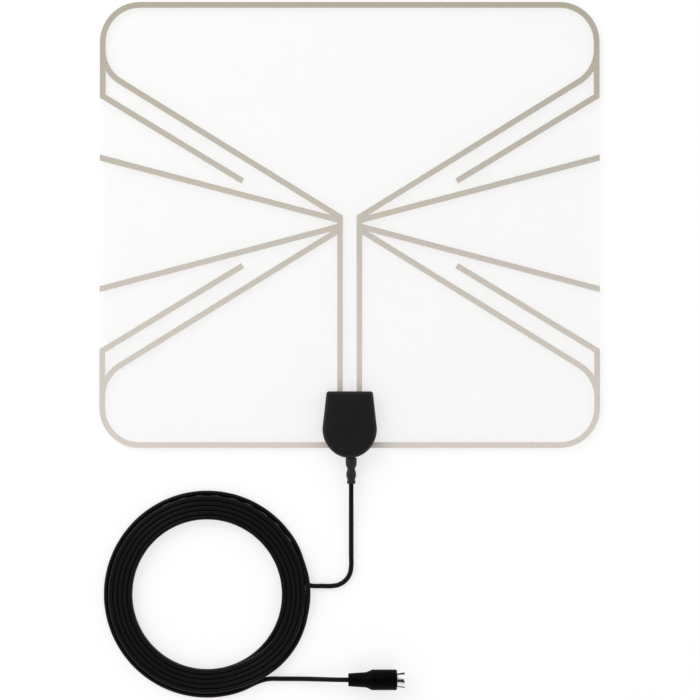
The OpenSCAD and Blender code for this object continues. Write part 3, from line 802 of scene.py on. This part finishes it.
class AERIAL_OT_plug(bpy.types.Operator):
    """Models the plug's moulded grip and its slotted metal collar"""
    bl_idname = "aerial.plug"
    bl_label = "Plug"

    def execute(self, context):
        self.grip(context.scene.aerial_plug, context.scene.aerial_colours.plug)
        self.collar(context.scene.aerial_plug)
        return {"FINISHED"}

    def grip(self, values, tone):
        """The moulded grip, with a slimmer stem at the cable."""
        grip = values.grip_radius / MM
        collar = values.collar_radius / MM
        stem_end, stem, stem_root, grip_start = 12.0, 4.35, 5.1, 16.0
        round_end, round_grip = 0.6, 1.2

        shape = [(0, 0), (0, stem - round_end)]
        shape += arc((round_end, stem - round_end), round_end, -90, 0, 6)[1:]
        shape += [(stem_end, stem_root)]
        shape += arc((grip_start, grip - round_grip), round_grip, -45, 0, 6)
        shape += arc((PLUG_FACE - round_grip, grip - round_grip), round_grip, 0, 90, 8)
        shape += [(PLUG_FACE, collar + SEAT), (COLLAR_POCKET, collar + SEAT),
                  (COLLAR_POCKET, 0)]
        bm = bmesh.new()
        turned(bm, shape, PLUG_START, (1, 0, 0))
        # Injection-moulded PVC grip: deep black, a little shinier on its round edges
        grip_stuff = moulded("Moulded PVC grip", tone, 0.5, 1.52, 0.6, 0.035,
                             **{"Specular IOR Level": 0.045})
        finish_piece("plug_grip", bm, grip_stuff, ["plug_body"])

    def collar(self, values):
        """The metal collar, splayed and slotted in front of the grip."""
        collar = values.collar_radius / MM
        mouth = values.mouth_radius / MM
        wall, rim, past, end = 0.4, 0.1, 1.0, 37.7
        inner = collar - wall
        back, front = COLLAR_POCKET + SEAT, PLUG_FACE + SEAT
        shape = [(back, inner), (back, collar), (front, collar), (end - rim, mouth),
                 (end, mouth - rim), (end, mouth - wall), (front, inner)]
        bm = bmesh.new()
        turned(bm, shape, PLUG_START, (1, 0, 0), closed=True)

        # Each slot is a wedge that reaches past the mouth
        cutter = bmesh.new()
        start, long = PLUG_FACE + 2 * SEAT, end + past - PLUG_FACE
        tall, middle_y = 6, 5.5
        for i in range(values.slots):
            wedge = bmesh.ops.create_cube(
                cutter, size=1,
                matrix=Matrix.Translation((start + long / 2, 0, middle_y))
                @ Matrix.Diagonal((long, values.slot_width / MM, tall, 1)))["verts"]
            bmesh.ops.scale(cutter, verts=[v for v in wedge if v.co.x > start + past],
                            vec=(1, values.slot_mouth / values.slot_width, 1))
            bmesh.ops.transform(
                cutter, verts=wedge,
                matrix=Matrix.Translation(PLUG_START)
                @ Matrix.Rotation(FULL_TURN * i / values.slots, 4, "X"))
        bm = carve(bm, cutter)

        # Nickel plate on brass: bright and smooth, with fine polishing marks
        nickel = moulded("Nickel-plated brass", linear("#fbfaf7"), 0.42, 1.5, 0.8, 0.003,
                         mottle=3, spread=0.04, Metallic=1.0)
        # Inside: near-black painted shade for the shadowed bore, so the slots read as
        # dark strokes
        bore_painted_shade = moulded("Nickel bore with painted shade", linear("#15130f"), 0.6, 1.5, 0.8,
                            0.004, mottle=2)
        bm.normal_update()
        middle = Vector(PLUG_START)
        # Faces that look inwards take the painted shade, the outer ones the bright nickel
        for patch in bm.faces:
            spoke = patch.calc_center_median() - middle
            spoke.x = 0
            outward = patch.normal.dot(spoke) >= 0.1 * spoke.length
            patch.material_index = 0 if outward else 1
        piece = finish_piece("plug_collar_metal", bm, nickel, ["plug_collar"])
        piece.data.materials.append(bore_painted_shade)


class AERIAL_OT_finishes(bpy.types.Operator):
    """Gives every remaining solid of the part its own finish"""
    bl_idname = "aerial.finishes"
    bl_label = "Finishes"

    def execute(self, context):
        colours = context.scene.aerial_colours
        # Bright zinc plate on steel: cool grey, softly streaked
        zinc = moulded("Zinc-plated steel", linear("#b9bcc0"), 0.3, 1.5, 0.7, 0.004,
                       mottle=2, Metallic=1.0)
        # Sintered ferrite: matt, near black, with a sandy grain
        ferrite = moulded("Sintered ferrite", linear("#2b2a2a"), 0.7, 1.8, 0.4, 0.03,
                          mottle=2)
        # Enamelled copper wire: warm metal under a clear coat
        copper = moulded("Enamelled copper", linear("#b8683a"), 0.25, 1.5, 1.0, 0.002,
                         mottle=2, Metallic=1.0)
        # Polyethylene: milky white and waxy
        milky = moulded("Natural polyethylene", linear("#efeee9"), 0.4, 1.51, 1.2, 0.01,
                        mottle=4, spread=0.02)
        # Gold flash on brass: warm yellow, smooth
        gold = moulded("Gold-plated brass", linear("#8a6b36"), 0.35, 1.5, 0.8, 0.002,
                       mottle=2, spread=0.05, Metallic=1.0)
        # Spring brass: yellow, slightly brushed
        brass = moulded("Spring brass", linear("#c9a25a"), 0.34, 1.5, 0.7, 0.004,
                        mottle=2, Metallic=1.0)
        # The back cover's ABS is a touch duller than the front's
        back = moulded("Spark-textured ABS back", colours.housing, 0.45, 1.54, 0.5, 0.04,
                       **{"Specular IOR Level": 0.25})
        jacket = cable_jacket(colours.cable)
        dressed = {
            "film_sheet": clear_film(colours.film),
            "antenna_element": printed_element(colours.print_far, colours.print_near),
            "housing_back": back, "housing_screws": zinc, "balun_board": solder_mask(),
            "contact_left": brass, "contact_right": brass, "ferrite_ring": ferrite,
            "ring_winding": copper, "cable_jacket_end": jacket,
            "cable_braid": woven_braid(), "cable_insulation": milky,
            "cable_core": copper, "plug_insulator": milky, "centre_pin": gold,
        }
        for name, material in dressed.items():
            slots = NODES[name].material_slots
            if not slots:
                NODES[name].data.materials.append(material)
            for slot in slots:
                slot.material = material
        return {"FINISHED"}


class AERIAL_OT_declare(bpy.types.Operator):
    bl_idname = "aerial.declare"
    bl_label = "Declare Cable"

    def execute(self, context):
        return {"FINISHED"}


class AERIAL_PT_panel(bpy.types.Panel):
    """The aerial's pieces and their settings"""
    bl_idname = "AERIAL_PT_panel"
    bl_label = "Aerial"
    bl_space_type = "VIEW_3D"
    bl_region_type = "UI"
    bl_category = "Aerial"

    def draw(self, context):
        for operator in OPERATORS:
            self.layout.operator(operator.bl_idname)
        for label in SETTINGS:
            box = self.layout.box()
            group = getattr(context.scene, label)
            for name in group.__annotations__:
                box.prop(group, name)


SETTINGS = {
    "aerial_stage": AerialStage, "aerial_cable": AerialCable,
    "aerial_housing": AerialHousing, "aerial_plug": AerialPlug,
    "aerial_colours": AerialColours,
}
OPERATORS = (AERIAL_OT_stage, AERIAL_OT_cable, AERIAL_OT_housing, AERIAL_OT_relief,
             AERIAL_OT_plug, AERIAL_OT_finishes, AERIAL_OT_declare)


def register():
    for made in (*SETTINGS.values(), *OPERATORS, AERIAL_PT_panel):
        bpy.utils.register_class(made)
    for name, group in SETTINGS.items():
        setattr(bpy.types.Scene, name, bpy.props.PointerProperty(type=group))


def unregister():
    for name in SETTINGS:
        delattr(bpy.types.Scene, name)
    for made in reversed((*SETTINGS.values(), *OPERATORS, AERIAL_PT_panel)):
        bpy.utils.unregister_class(made)


def main():
    register()
    for operator in OPERATORS:
        group, action = operator.bl_idname.split(".")
        getattr(getattr(bpy.ops, group), action)()


if __name__ == "__main__":
    main()
